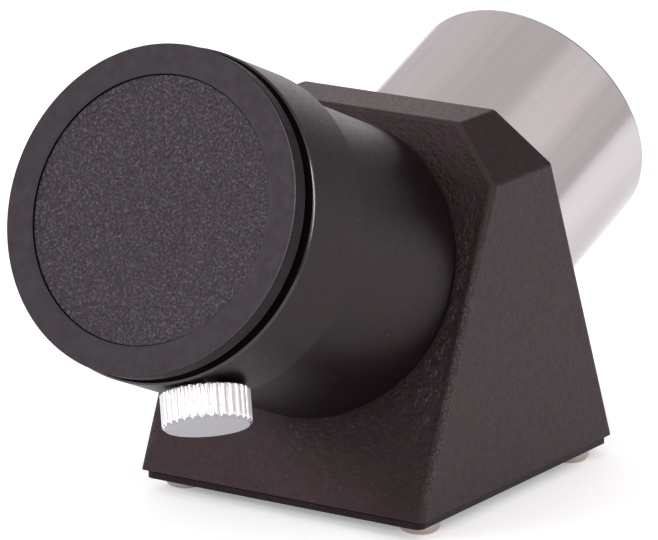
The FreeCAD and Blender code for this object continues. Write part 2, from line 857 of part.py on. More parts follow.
knob = new_body("thumbscrew_knob")
sk = new_sketch(knob, "knob_profile", "XZ_Plane")
polygon(
    sk,
    [
        ("knob_bore_r", "knob_low"),
        ("knob_heel_r", "knob_low"),
        ("knob_r", "knob_low + 0.1"),
        ("knob_r", "knob_high - knob_face_drop"),
        ("knob_face_r", "knob_high"),
        ("0", "knob_high"),
        ("0", "knob_bore_end"),
        ("knob_bore_r", "knob_bore_end"),
    ],
)
last = revolve(knob, "knob_lathe", sk)
sk = new_sketch(knob, "flute_view", "XY_Plane", "knob_low - 1")
ring(sk, "flute_centre", "0", "flute_r")
flute = extrude(knob, "Pocket", "knob_flute", sk, "knob_high - knob_low + 2", backwards=True)
cut_checked(knob, flute, 0.3)
flutes = knob.newObject("PartDesign::PolarPattern", "knob_flutes")
flutes.Originals = [flute]
flutes.Axis = (origin_object(knob, "Z_Axis"), [""])
flutes.Angle = 360
bind(flutes, "Occurrences", "flute_count")
knob.Tip = flutes
doc.recompute()
if flute.BaseFeature.Shape.Volume - flutes.Shape.Volume < 25 * (
    flute.BaseFeature.Shape.Volume - flute.Shape.Volume
):
    raise RuntimeError("knob flutes missing")
knob.Placement = THUMB_FRAME

# ---------------------------------------------------------------------------------------------
# Dust cap: plug skirt in the mouth of the collar, flange outside, recessed front panel.
# ---------------------------------------------------------------------------------------------
cap = new_body("dust_cap")
sk = new_sketch(cap, "cap_profile", "XZ_Plane")
polygon(
    sk,
    [
        ("0", "cap_inner"),
        ("cap_skirt_inner_r", "cap_inner"),
        ("cap_skirt_inner_r", "cap_skirt_end"),
        ("cap_skirt_r - 0.3", "cap_skirt_end"),
        ("cap_skirt_r", "cap_skirt_end + 0.4"),
        ("cap_skirt_r", "cap_seat"),
        ("cap_neck_r", "cap_seat"),
        ("cap_neck_r", "cap_flange_low"),
        ("cap_flange_r", "cap_flange_low"),
        ("cap_flange_r", "cap_flange_high"),
        ("cap_panel_r", "cap_flange_high"),
        ("cap_panel_r", "cap_flange_high - cap_panel_drop"),
        ("0", "cap_flange_high - cap_panel_drop"),
    ],
)
last = revolve(cap, "cap_lathe", sk)
last = round_edges(
    cap,
    "cap_rim_rounding",
    last,
    circle_edge(SIZE["cap_flange_r"], SIZE["cap_flange_high"]),
    "cap_flange_round",
)
place_on_axis(cap, -1)

# ---------------------------------------------------------------------------------------------
# Nosepiece and the baffle ring in its inner end.
# ---------------------------------------------------------------------------------------------
nose = new_body("nosepiece")
sk = new_sketch(nose, "nosepiece_profile", "XZ_Plane")
polygon(
    sk,
    [
        ("nose_bore_r", "nose_foot_dist"),
        ("nose_spigot_r", "nose_foot_dist"),
        ("nose_spigot_r", "seat_dist"),
        ("nose_r", "seat_dist"),
        ("nose_r", "nose_end"),
        ("nose_lead_r", "nose_end"),
        ("nose_thread_r", "nose_end - 0.4"),
        ("nose_thread_r", "nose_thread_dist"),
        ("nose_bore_r", "nose_thread_dist"),
    ],
)
last = revolve(nose, "nosepiece_lathe", sk)
last = round_edges(
    nose, "nosepiece_end_rounding", last, circle_edge(SIZE["nose_r"], SIZE["nose_end"]), "nose_round"
)
place_on_axis(nose, 1)

baffle = new_body("nosepiece_baffle")
sk = new_sketch(baffle, "baffle_profile", "XZ_Plane")
polygon(
    sk,
    [
        ("baffle_hole_r", "baffle_low"),
        ("baffle_r", "baffle_low"),
        ("baffle_r", "baffle_high"),
        ("baffle_hole_r + 0.9", "baffle_high"),
        ("baffle_hole_r", "baffle_high - 0.9"),
    ],
)
revolve(baffle, "baffle_lathe", sk)
place_on_axis(baffle, 1)

doc.recompute()

# ---------------------------------------------------------------------------------------------
# Every object is sound before anything is written.
# ---------------------------------------------------------------------------------------------
NODES = {
    "housing": 1,
    "base_plate": 1,
    "base_gasket": 1,
    "base_plate_screws": 4,
    "prism": 1,
    "prism_cell": 1,
    "cell_screws": 2,
    "roof_pad_left": 1,
    "roof_pad_right": 1,
    "prism_strap": 1,
    "strap_pad": 1,
    "strap_screws": 2,
    "eyepiece_tube": 1,
    "thumbscrew_shank": 1,
    "thumbscrew_knob": 1,
    "dust_cap": 1,
    "nosepiece": 1,
    "nosepiece_baffle": 1,
}
bad = []
for obj in doc.Objects:
    if "Invalid" in obj.State or "Error" in obj.State:
        bad.append("%s: %s" % (obj.Label, obj.State))
shapes = {}
for node, solids in NODES.items():
    found = [obj for obj in doc.Objects if obj.Label == node]
    if len(found) != 1:
        bad.append("%s: %d objects" % (node, len(found)))
        continue
    shape = found[0].Shape
    if shape.isNull() or not shape.isValid():
        bad.append("%s: shape is null or not valid" % node)
    elif len(shape.Solids) != solids:
        bad.append("%s: %d solids" % (node, len(shape.Solids)))
    shapes[node] = shape
if bad:
    raise RuntimeError("; ".join(bad))

os.makedirs("parts", exist_ok=True)
low = [min(s.BoundBox.XMin for s in shapes.values()), min(s.BoundBox.YMin for s in shapes.values()), min(s.BoundBox.ZMin for s in shapes.values())]
high = [max(s.BoundBox.XMax for s in shapes.values()), max(s.BoundBox.YMax for s in shapes.values()), max(s.BoundBox.ZMax for s in shapes.values())]
for node, shape in shapes.items():
    shape.exportStep("parts/%s.step" % node)
    print("%-20s volume %9.1f mm3" % (node, shape.Volume))
print("box", [round(x, 3) for x in low], [round(x, 3) for x in high])
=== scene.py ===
import math

import bmesh
import bpy
import numpy as np
from mathutils import Matrix, Vector, noise


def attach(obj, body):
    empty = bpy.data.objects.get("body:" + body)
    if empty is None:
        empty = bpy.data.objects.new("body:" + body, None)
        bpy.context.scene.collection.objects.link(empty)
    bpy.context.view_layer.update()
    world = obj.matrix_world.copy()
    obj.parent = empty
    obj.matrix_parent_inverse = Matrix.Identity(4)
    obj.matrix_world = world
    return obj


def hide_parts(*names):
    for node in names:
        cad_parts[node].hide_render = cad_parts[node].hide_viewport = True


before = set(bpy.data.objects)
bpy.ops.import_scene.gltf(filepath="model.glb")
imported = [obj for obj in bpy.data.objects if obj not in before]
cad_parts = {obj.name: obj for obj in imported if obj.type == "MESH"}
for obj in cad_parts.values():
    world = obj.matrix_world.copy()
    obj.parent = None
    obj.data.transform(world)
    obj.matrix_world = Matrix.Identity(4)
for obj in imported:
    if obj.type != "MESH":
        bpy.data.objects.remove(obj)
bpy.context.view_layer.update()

MM = 0.001

# ------------------------------------------------------------------------------------------
# Frame of the object, in millimetres: the two tube axes cross at CROSS and rise 22.5 degrees.
# ------------------------------------------------------------------------------------------
TILT = math.radians(22.5)
CROSS = Vector((7.749, 0.0, 22.34))
FRONT = Vector((-math.cos(TILT), 0.0, math.sin(TILT)))
REAR = Vector((math.cos(TILT), 0.0, math.sin(TILT)))
SIDE_Y = Vector((0.0, 1.0, 0.0))


def axis_frame(axis, origin, x_dir):
    """4x4 in millimetres: local Z along the axis, local X along x_dir."""
    z = axis.normalized()
    x = (x_dir - x_dir.dot(z) * z).normalized()
    y = z.cross(x)
    m = Matrix.Identity(4)
    for i in range(3):
        m[i][0], m[i][1], m[i][2], m[i][3] = x[i], y[i], z[i], origin[i]
    return m


FRONT_FRAME = axis_frame(FRONT, CROSS, Vector((0, 0, 1)))
REAR_FRAME = axis_frame(REAR, CROSS, Vector((0, 0, 1)))
SWING = math.radians(19.4)
THUMB = Vector((-math.sin(TILT), 0.0, -math.cos(TILT))) * math.cos(SWING) - SIDE_Y * math.sin(SWING)
THUMB_FRAME = axis_frame(THUMB, CROSS + FRONT * 42.6, FRONT)


# ------------------------------------------------------------------------------------------
# Mesh helpers
# ------------------------------------------------------------------------------------------
def new_piece(name, verts_mm, faces, matrix, body, material, smooth=True, sharp_deg=28.0):
    mesh = bpy.data.meshes.new(name)
    world = [tuple((matrix @ Vector(v)) * MM) for v in verts_mm]
    mesh.from_pydata(world, [], faces)
    mesh.validate()
    bm = bmesh.new()
    bm.from_mesh(mesh)
    bmesh.ops.remove_doubles(bm, verts=bm.verts, dist=1e-7)
    bmesh.ops.recalc_face_normals(bm, faces=bm.faces)
    limit = math.radians(sharp_deg)
    for face in bm.faces:
        face.smooth = smooth
    for edge in bm.edges:
        if len(edge.link_faces) == 2:
            edge.smooth = edge.calc_face_angle(0.0) < limit
    bm.to_mesh(mesh)
    bm.free()
    obj = bpy.data.objects.new(name, mesh)
    bpy.context.scene.collection.objects.link(obj)
    mesh.materials.append(material)
    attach(obj, body)
    return obj


def arc(cx, cy, radius, start, end, steps):
    """Points of a rounded corner in the profile plane, angles in degrees."""
    return [
        (
            cx + radius * math.cos(math.radians(start + (end - start) * i / steps)),
            cy + radius * math.sin(math.radians(start + (end - start) * i / steps)),
        )
        for i in range(steps + 1)
    ]


def rounded(points, steps=5):
    """A closed outline of (x, y, radius) corners: corners with a radius are rounded, and a point is kept
    just before and after each rounding, so that flat stretches shade flat."""
    out = []
    count = len(points)
    for i in range(count):
        x, y, r = points[i]
        here = Vector((x, y))
        if r <= 0:
            out.append((x, y))
            continue
        before = Vector(points[i - 1][:2]) - here
        after = Vector(points[(i + 1) % count][:2]) - here
        d1, d2 = before.normalized(), after.normalized()
        half = d1.angle(d2) / 2
        cut = r / math.tan(half)
        centre = here + (d1 + d2).normalized() * (r / math.sin(half))
        a = here + d1 * cut
        b = here + d2 * cut
        va, vb = a - centre, b - centre
        start = math.atan2(va.y, va.x)
        turn = math.atan2(va.x * vb.y - va.y * vb.x, va.dot(vb))
        hold = min(0.03, 0.2 * r)
        out.append(tuple(a + d1 * hold))
        for k in range(steps + 1):
            ang = start + turn * k / steps
            out.append((centre.x + r * math.cos(ang), centre.y + r * math.sin(ang)))
        out.append(tuple(b + d2 * hold))
    return out


def lathe(profile, segments):
    """Quads turned about local Z from a closed (r, z) outline. Points on the axis become one vertex."""
    verts, faces, rings = [], [], []
    for r, z in profile:
        if r < 1e-6:
            rings.append([len(verts)])
            verts.append((0.0, 0.0, z))
        else:
            ring = []
            for s in range(segments):
                a = 2 * math.pi * s / segments
                ring.append(len(verts))
                verts.append((r * math.cos(a), r * math.sin(a), z))
            rings.append(ring)
    count = len(rings)
    for i in range(count):
        a, b = rings[i], rings[(i + 1) % count]
        if len(a) == 1 and len(b) == 1:
            continue
        for s in range(segments):
            t = (s + 1) % segments
            if len(a) == 1:
                faces.append((a[0], b[t], b[s]))
            elif len(b) == 1:
                faces.append((a[s], a[t], b[0]))
            else:
                faces.append((a[s], a[t], b[t], b[s]))
    return verts, faces


# ------------------------------------------------------------------------------------------
# Materials
# ------------------------------------------------------------------------------------------
class Nodes:
    """Short names for building a node tree."""

    def __init__(self, name):
        self.material = bpy.data.materials.new(name)
        self.material.use_nodes = True
        self.tree = self.material.node_tree
        self.shader = self.tree.nodes["Principled BSDF"]
        self.coords = self.tree.nodes.new("ShaderNodeTexCoord").outputs["Object"]

    def add(self, kind, **values):
        node = self.tree.nodes.new(kind)
        for key, value in values.items():
            if key in node.inputs:
                node.inputs[key].default_value = value
            else:
                setattr(node, key, value)
        return node

    def link(self, a, b):
        self.tree.links.new(a, b)

    def mapped(self, scale, rotation=(0, 0, 0)):
        node = self.add("ShaderNodeMapping")
        node.inputs["Scale"].default_value = scale
        node.inputs["Rotation"].default_value = rotation
        self.link(self.coords, node.inputs["Vector"])
        return node.outputs["Vector"]

    def along(self, turn_y, scale):
        """Object coordinates turned about Y so that a tube's axis becomes Z, then scaled."""
        first = self.add("ShaderNodeMapping")
        first.inputs["Rotation"].default_value = (0.0, turn_y, 0.0)
        self.link(self.coords, first.inputs["Vector"])
        second = self.add("ShaderNodeMapping")
        second.inputs["Scale"].default_value = scale
        self.link(first.outputs["Vector"], second.inputs["Vector"])
        return second.outputs["Vector"]

    def noise(self, scale, detail=4.0, rough=0.55, vector=None, out="Fac"):
        node = self.add("ShaderNodeTexNoise")
        node.inputs["Scale"].default_value = scale
        node.inputs["Detail"].default_value = detail
        node.inputs["Roughness"].default_value = rough
        self.link(vector or self.coords, node.inputs["Vector"])
        return node.outputs[out]

    def voronoi(self, scale, feature="F1", vector=None, randomness=1.0):
        node = self.add("ShaderNodeTexVoronoi")
        node.feature = feature
        node.inputs["Scale"].default_value = scale
        node.inputs["Randomness"].default_value = randomness
        self.link(vector or self.coords, node.inputs["Vector"])
        return node.outputs["Distance"]

    def ramp(self, fac, stops):
        node = self.add("ShaderNodeValToRGB")
        elements = node.color_ramp.elements
        while len(elements) < len(stops):
            elements.new(0.5)
        for element, (pos, colour) in zip(elements, stops):
            element.position = pos
            element.color = (*colour, 1.0) if len(colour) == 3 else colour
        self.link(fac, node.inputs["Fac"])
        return node.outputs["Color"]

    def math(self, op, a, b=None, clamp=False):
        node = self.add("ShaderNodeMath")
        node.operation = op
        node.use_clamp = clamp
        for i, value in enumerate((a, b)):
            if value is None:
                continue
            if isinstance(value, (int, float)):
                node.inputs[i].default_value = value
            else:
                self.link(value, node.inputs[i])
        return node.outputs[0]

    def range(self, value, low, high, to_low, to_high):
        node = self.add("ShaderNodeMapRange")
        for key, v in (("From Min", low), ("From Max", high), ("To Min", to_low), ("To Max", to_high)):
            node.inputs[key].default_value = v
        self.link(value, node.inputs["Value"])
        return node.outputs["Result"]

    def mix(self, fac, a, b):
        node = self.add("ShaderNodeMix")
        node.data_type = "RGBA"
        for name, value in (("A", a), ("B", b)):
            socket = [s for s in node.inputs if s.name == name and s.type == "RGBA"][0]
            if isinstance(value, tuple):
                socket.default_value = (*value, 1.0) if len(value) == 3 else value
            else:
                self.link(value, socket)
        socket = [s for s in node.inputs if s.name == "Factor" and s.type == "VALUE"][0]
        if isinstance(fac, (int, float)):
            socket.default_value = fac
        else:
            self.link(fac, socket)
        return [s for s in node.outputs if s.type == "RGBA"][0]

    def bump(self, height, distance, strength=1.0, normal=None):
        node = self.add("ShaderNodeBump")
        node.inputs["Strength"].default_value = strength
        node.inputs["Distance"].default_value = distance
        self.link(height, node.inputs["Height"])
        if normal is not None:
            self.link(normal, node.inputs["Normal"])
        return node.outputs["Normal"]

    def edges(self, low=0.53, high=0.62):
        """0 on flat and hollow places, 1 on outer edges."""
        geometry = self.add("ShaderNodeNewGeometry")
        return self.range(geometry.outputs["Pointiness"], low, high, 0.0, 1.0)

    def out(self, colour=None, rough=None, normal=None, **flat):
        if colour is not None:
            if isinstance(colour, tuple):
                self.shader.inputs["Base Color"].default_value = (*colour, 1.0)
            else:
                self.link(colour, self.shader.inputs["Base Color"])
        if rough is not None:
            if isinstance(rough, (int, float)):
                self.shader.inputs["Roughness"].default_value = rough
            else:
                self.link(rough, self.shader.inputs["Roughness"])
        if normal is not None:
            self.link(normal, self.shader.inputs["Normal"])
        for key, value in flat.items():
            socket = self.shader.inputs[key.replace("_", " ")]
            if isinstance(value, bpy.types.NodeSocket):
                self.link(value, socket)
            else:
                socket.default_value = value
        return self.material


WARM = (1.0, 0.72, 0.78, 1.0)


def paint(name, dark, light, rough_low, rough_high, grain, grain_depth, orange_depth, specks=True, shine=0.5, tint=WARM):
    """Black coating: slightly mottled colour, fine grain, a few pale dust specks."""
    n = Nodes(name)
    mottled = n.noise(420.0, 3.0)
    colour = n.mix(n.range(mottled, 0.35, 0.7, 0.0, 1.0), dark, light)
    if specks:
        dots = n.voronoi(700.0)
        chance = n.noise(520.0, 0.0)
        mask = n.math("MULTIPLY", n.range(dots, 0.05, 0.10, 1.0, 0.0), n.range(chance, 0.66, 0.70, 0.0, 1.0))
        colour = n.mix(n.math("MULTIPLY", mask, 0.4), colour, (0.2, 0.185, 0.18))
    rough = n.range(n.noise(1700.0, 3.0), 0.3, 0.7, rough_low, rough_high)
    fine = n.noise(grain, 3.0, 0.6)
    soft = n.noise(grain * 0.16, 2.0)
    normal = n.bump(soft, orange_depth, 0.5)
    normal = n.bump(fine, grain_depth, 0.5, normal)
    return n.out(colour, rough, normal, Specular_IOR_Level=shine, Specular_Tint=tint)


def housing_material():
    """Black stove enamel: fine matte, mottled, thin and pale on worn outer edges."""
    n = Nodes("housing_enamel")
    mottled = n.noise(900.0, 4.0)
    colour = n.mix(n.range(mottled, 0.35, 0.7, 0.0, 1.0), (0.0136, 0.0106, 0.0109), (0.0182, 0.0143, 0.0144))
    dots = n.voronoi(1900.0)
    chance = n.noise(1300.0, 0.0)
    mask = n.math("MULTIPLY", n.range(dots, 0.10, 0.22, 1.0, 0.0), n.range(chance, 0.62, 0.66, 0.0, 1.0))
    colour = n.mix(n.math("MULTIPLY", mask, 0.30), colour, (0.16, 0.15, 0.145))
    bevel = n.add("ShaderNodeBevel")
    bevel.samples = 6
    bevel.inputs["Radius"].default_value = 0.0006
    geometry = n.add("ShaderNodeNewGeometry")
    dot = n.add("ShaderNodeVectorMath")
    dot.operation = "DOT_PRODUCT"
    n.link(bevel.outputs["Normal"], dot.inputs[0])
    n.link(geometry.outputs["Normal"], dot.inputs[1])
    chips = n.range(n.noise(3600.0, 4.0, 0.7), 0.46, 0.62, 0.0, 1.0)
    worn = n.math("MULTIPLY", n.range(dot.outputs["Value"], 0.999, 0.985, 0.0, 1.0), chips)
    split = n.add("ShaderNodeSeparateXYZ")
    n.link(n.coords, split.inputs[0])
    low = n.range(split.outputs["Z"], 0.0034, 0.0052, 0.0, 1.0)
    high = n.range(split.outputs["Z"], 0.026, 0.037, 1.0, 0.12)
    worn = n.math("MULTIPLY", worn, n.math("MULTIPLY", low, high))
    colour = n.mix(n.math("MULTIPLY", worn, 0.55), colour, (0.20, 0.19, 0.195))
    where = n.add("ShaderNodeSeparateXYZ")
    n.link(geometry.outputs["Normal"], where.inputs[0])
    leg = n.range(n.math("ABSOLUTE", where.outputs["X"]), 0.6, 0.85, 0.25, 1.0)
    grain = n.bump(n.math("MULTIPLY", n.noise(3000.0, 3.0, 0.65), leg), 0.00020, 0.6)
    grain = n.bump(n.noise(900.0, 2.0), 0.00006, 0.35, grain)
    rough = n.range(n.noise(2600.0, 3.0), 0.3, 0.7, 0.46, 0.60)
    return n.out(colour, rough, grain, Specular_IOR_Level=0.31, Specular_Tint=(1.0, 0.66, 0.74, 1.0))


def cap_material(panel, part="rim"):
    """Moulded black plastic; the recessed panel has a leather grain, with painted glints and painted shade of the grain
    as light and dark flecks in its colour.
    """
    n = Nodes("cap_panel" if panel else "cap_" + part)
    mottled = n.noise(700.0, 4.0)
    colour = n.mix(n.range(mottled, 0.35, 0.7, 0.0, 1.0), (0.0120, 0.0092, 0.0112), (0.0154, 0.0121, 0.0143))
    if panel:
        # painted highlight and painted shade: pale flecks paint the glints of the leather grain, near-black flecks
        # paint its shade
        grain_glints_and_shade = n.noise(3600.0, 2.0, 0.6)
        colour = n.mix(n.range(grain_glints_and_shade, 0.36, 0.50, 0.95, 0.0), colour, (0.003, 0.0025, 0.003))
        colour = n.mix(n.range(grain_glints_and_shade, 0.52, 0.72, 0.0, 1.0), colour, (0.074, 0.066, 0.077))
        normal = n.bump(n.noise(2300.0, 3.0, 0.65), 0.00035, 1.0)
        rough = n.range(n.noise(2600.0, 3.0), 0.3, 0.7, 0.33, 0.46)
    elif part == "side":
        # painted shade: the flange's outer side is a darker copy of the rim plastic, darkened for the shade it stands
        # in
        colour = n.mix(0.45, colour, (0.004, 0.0026, 0.0028))
        normal = n.bump(n.noise(4200.0, 3.0), 0.00003, 0.4)
        rough = n.range(n.noise(900.0, 3.0), 0.3, 0.7, 0.50, 0.62)
    elif part == "edge":
        normal = n.bump(n.noise(4200.0, 3.0), 0.00001, 0.3)
        rough = n.range(n.noise(900.0, 3.0), 0.3, 0.7, 0.24, 0.32)
    else:
        colour = n.mix(0.28, colour, (0.004, 0.004, 0.0048))
        normal = n.bump(n.noise(4200.0, 3.0), 0.00003, 0.4)
        rough = n.range(n.noise(900.0, 3.0), 0.3, 0.7, 0.46, 0.58)
    shine = 0.42 if panel else {"rim": 0.28, "side": 0.10, "edge": 0.40}[part]
    return n.out(colour, rough, normal, Specular_IOR_Level=shine, Specular_Tint=(1.0, 0.88, 1.0, 1.0))


def metal(name, colour, rough_low, rough_high, scratch=0.00002, stretch=(1.0, 1.0, 1.0), anisotropic=0.0):
    """Bare or plated metal with fine tool marks."""
    n = Nodes(name)
    marks = n.noise(900.0, 5.0, 0.6, n.mapped(stretch))
    cloud = n.noise(60.0, 3.0)
    tint = n.mix(n.range(cloud, 0.3, 0.7, 0.0, 1.0), colour, tuple(c * 0.93 for c in colour))
    rough = n.range(marks, 0.25, 0.75, rough_low, rough_high)
    normal = n.bump(marks, scratch, 0.5)
    return n.out(tint, rough, normal, Metallic=1.0, Anisotropic=anisotropic)


def barrel_material():
    """Satin turned barrel: faint lengthwise streaks and very fine tool marks."""
    n = Nodes("nosepiece_satin")
    turn = math.radians(-67.5)
    streaks = n.noise(1.0, 4.0, 0.6, n.along(turn, (900.0, 900.0, 25.0)))
    rings = n.noise(1.0, 3.0, 0.6, n.along(turn, (40.0, 40.0, 5200.0)))
    colour = n.mix(n.range(streaks, 0.3, 0.7, 0.0, 1.0), (0.535, 0.510, 0.515), (0.570, 0.545, 0.550))
    rough = n.range(rings, 0.25, 0.75, 0.13, 0.21)
    # the rounded rear edge is left a little duller by the polishing wheel
    split = n.add("ShaderNodeSeparateXYZ")
    n.link(n.coords, split.inputs[0])
    along = n.math("ADD", n.math("MULTIPLY", split.outputs["X"], 0.92388), n.math("MULTIPLY", split.outputs["Z"], 0.38268))
    along = n.math("SUBTRACT", along, 0.92388 * 0.007749 + 0.38268 * 0.02234)
    rough = n.math("ADD", rough, n.range(along, 0.03545, 0.03570, 0.0, 0.38))
    normal = n.bump(rings, 0.000004, 0.4)
    return n.out(colour, rough, normal, Metallic=1.0, Specular_Tint=(0.82, 0.81, 0.83, 1.0))


def glass_material():
    n = Nodes("prism_glass")
    haze = n.range(n.noise(200.0, 2.0), 0.3, 0.7, 0.0, 0.02)
    return n.out((0.92, 0.97, 0.96), haze, None, IOR=1.52, Transmission_Weight=1.0)


def cork_material():
    n = Nodes("cork")
    grains = n.voronoi(900.0)
    colour = n.ramp(grains, [(0.0, (0.10, 0.05, 0.02)), (0.35, (0.34, 0.2, 0.1)), (1.0, (0.5, 0.33, 0.18))])
    return n.out(colour, 0.85, n.bump(grains, 0.0001, 0.6))


ENAMEL = housing_material()
TUBE_BLACK = paint("tube_coating", (0.0054, 0.0034, 0.0038), (0.0070, 0.0044, 0.0050), 0.33, 0.41, 5200.0, 0.00002, 0.00003, shine=0.14, tint=(1.0, 0.65, 0.73, 1.0))
TUBE_EDGE = paint("tube_edge", (0.0050, 0.0034, 0.0040), (0.0065, 0.0044, 0.0050), 0.12, 0.17, 5200.0, 0.000003, 0.000003, specks=False, shine=0.62, tint=(1.0, 0.96, 1.0, 1.0))
PLATE_BLACK = paint("plate_coating", (0.0045, 0.0032, 0.0036), (0.0075, 0.0055, 0.0062), 0.40, 0.52, 4200.0, 0.00004, 0.00004, shine=0.20)
INNER_BLACK = paint("inner_black", (0.006, 0.006, 0.006), (0.012, 0.011, 0.011), 0.6, 0.8, 4200.0, 0.00004, 0.00002, specks=False)
# painted shade: a near-black, almost glossless copy of the coating for faces in the gap under the cap and the recess
# wall round its panel
SHADOW_BLACK = paint("painted_shade_black", (0.0016, 0.0013, 0.0014), (0.0024, 0.0018, 0.0020), 0.7, 0.8, 4200.0, 0.00002, 0.00001, specks=False, shine=0.06)
CAP_RIM = cap_material(False)
# painted shade: darker copy of the rim plastic for the flange's outer side
CAP_SIDE_PAINTED_SHADE = cap_material(False, "side")
CAP_EDGE = cap_material(False, "edge")
CAP_PANEL = cap_material(True)
SILVER = barrel_material()
CHROME = metal("chrome_knob", (0.80, 0.80, 0.82), 0.26, 0.33, 0.00001)
# painted shade: a dark grey copy of the chrome for the knob's down-facing outer face and chamfers, standing in for the
# shaded floor they reflect; the rougher finish is the turned face's own
CHROME_FACE_PAINTED_SHADE = metal("chrome_face_painted_shade", (0.355, 0.342, 0.380), 0.28, 0.36, 0.00001)
SCREW_METAL = metal("screw_nickel", (0.42, 0.35, 0.32), 0.16, 0.30, 0.00003)
STEEL = metal("spring_steel", (0.55, 0.55, 0.56), 0.25, 0.4, 0.00002)
BLACK_STEEL = metal("blackened_steel", (0.06, 0.06, 0.065), 0.3, 0.45, 0.00002)
RUBBER = paint("gasket_rubber", (0.006, 0.006, 0.006), (0.010, 0.009, 0.009), 0.6, 0.75, 3200.0, 0.00003, 0.00002, specks=False)
GLASS = glass_material()
CORK = cork_material()

NODE_MATERIALS = {
    "housing": ENAMEL,
    "base_plate": PLATE_BLACK,
    "base_gasket": RUBBER,
    "base_plate_screws": SCREW_METAL,
    "prism": GLASS,
    "prism_cell": INNER_BLACK,
    "cell_screws": BLACK_STEEL,
    "roof_pad_left": CORK,
    "roof_pad_right": CORK,
    "prism_strap": STEEL,
    "strap_pad": CORK,
    "strap_screws": BLACK_STEEL,
    "eyepiece_tube": TUBE_BLACK,
    "thumbscrew_shank": CHROME,
    "thumbscrew_knob": CHROME,
    "dust_cap": CAP_RIM,
    "nosepiece": SILVER,
    "nosepiece_baffle": INNER_BLACK,
}
for node, material in NODE_MATERIALS.items():
    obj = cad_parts[node]
    obj.data.materials.clear()
    obj.data.materials.append(material)

# ------------------------------------------------------------------------------------------
# Housing: the casting, with the wrinkled enamel of its two leg faces as real relief.
# ------------------------------------------------------------------------------------------
def wrinkle(x, y, edge):
    """Relief of the wrinkled enamel in millimetres, 0 where the face meets an edge."""
    p = Vector((x, y, 0.0))
    warp = noise.noise_vector(p * 0.9) * 0.45
    cells = noise.voronoi((p + warp) * 1.15)[0]
    pebble = min(1.0, (cells[1] - cells[0]) * 1.9)
    fine = noise.noise(p * 3.1)
    height = 0.070 * (pebble - 1.0) + 0.022 * fine - 0.022
    return height * min(1.0, edge / 0.9)


def build_housing():
    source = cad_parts["housing"]
    place = source.matrix_world.copy()
    bm = bmesh.new()
    bm.from_mesh(source.data)
    for v in bm.verts:
        v.co = (place @ v.co) / MM
    bmesh.ops.remove_doubles(bm, verts=bm.verts, dist=1e-5)
    patches = []
    for matrix, axis in ((FRONT_FRAME, FRONT), (REAR_FRAME, REAR)):
        far = max((v.co - CROSS).dot(axis) for v in bm.verts)
        flat = [
            f
            for f in bm.faces
            if f.normal.dot(axis) > 0.9995 and all(abs((v.co - CROSS).dot(axis) - far) < 2e-3 for v in f.verts)
        ]
        chosen = set(flat)
        rim = [e for f in flat for e in f.edges if sum(1 for g in e.link_faces if g in chosen) == 1]
        back = matrix.inverted()
        links = {}
        for e in rim:
            a, b = e.verts
            links.setdefault(a.index, []).append(b.index)
            links.setdefault(b.index, []).append(a.index)
        flatpos = {v.index: (back @ v.co) for e in rim for v in e.verts}
        loops, seen = [], set()
        for start in links:
            if start in seen:
                continue
            loop, at, came = [], start, None
            while at not in seen:
                seen.add(at)
                loop.append(at)
                nexts = [k for k in links[at] if k != came and k not in seen]
                if not nexts:
                    break
                came, at = at, nexts[0]
            loops.append([(flatpos[k].x, flatpos[k].y) for k in loop])
        loops.sort(key=lambda loop: max(math.hypot(*p) for p in loop))
        patches.append((matrix, far, loops, flat))
    print("housing leg faces:", [(round(p[1], 3), [len(l) for l in p[2]], len(p[3])) for p in patches])
    for matrix, far, loops, flat in patches:
        bmesh.ops.delete(bm, geom=[f for f in flat if f.is_valid], context="FACES_ONLY")
    skin_of_leg = []
    for matrix, far, loops, flat in patches:
        hole, outer = loops[0], loops[-1]
        radius = sum(math.hypot(*p) for p in hole) / len(hole)
        angles = sorted(
            set([round(2 * math.pi * i / 720, 9) for i in range(720)])
            | set(round(math.atan2(p[1], p[0]) % (2 * math.pi), 9) for p in outer)
        )
        reach = []
        count = len(outer)
        for a in angles:
            dx, dy = math.cos(a), math.sin(a)
            best = None
            for i in range(count):
                (x1, y1), (x2, y2) = outer[i], outer[(i + 1) % count]
                ex, ey = x2 - x1, y2 - y1
                det = dx * -ey + dy * ex
                if abs(det) < 1e-12:
                    continue
                t = (x1 * -ey + y1 * ex) / det
                k = (dx * y1 - dy * x1) / det
                if t > 0 and -1e-6 <= k <= 1 + 1e-6 and (best is None or t > best):
                    best = t
            reach.append(best)
        segments = list(zip(outer, outer[1:] + outer[:1]))
        rings = []
        steps = 60
        grid = []
        for j in range(steps + 1):
            share = j / steps
            row = []
            for a, far_out in zip(angles, reach):
                r = radius + (far_out - radius) * share
                x, y = r * math.cos(a), r * math.sin(a)
                edge = min((far_out - radius) * (1.0 - share), (far_out - radius) * share)
                z = far + (0.0 if j in (0, steps) else wrinkle(x, y, edge))
                row.append(bm.verts.new(matrix @ Vector((x, y, z))))
            grid.append(row)
        wide = len(angles)
        for j in range(steps):
            for i in range(wide):
                k = (i + 1) % wide
                bm.faces.new((grid[j][i], grid[j][k], grid[j + 1][k], grid[j + 1][i]))
    bmesh.ops.remove_doubles(bm, verts=bm.verts, dist=1e-4)
    bmesh.ops.recalc_face_normals(bm, faces=bm.faces)
    limit = math.radians(24)
    for face in bm.faces:
        face.smooth = True
    for edge in bm.edges:
        if len(edge.link_faces) == 2:
            edge.smooth = edge.calc_face_angle(0.0) < limit
    for v in bm.verts:
        v.co = v.co * MM
    mesh = bpy.data.meshes.new("housing_casting")
    bm.to_mesh(mesh)
    bm.free()
    obj = bpy.data.objects.new("housing_casting", mesh)
    bpy.context.scene.collection.objects.link(obj)
    mesh.materials.append(ENAMEL)
    weighted = obj.modifiers.new("flat_faces", "WEIGHTED_NORMAL")
    weighted.mode = "FACE_AREA"
    weighted.weight = 50
    weighted.keep_sharp = True
    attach(obj, "root")
    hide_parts("housing")


build_housing()


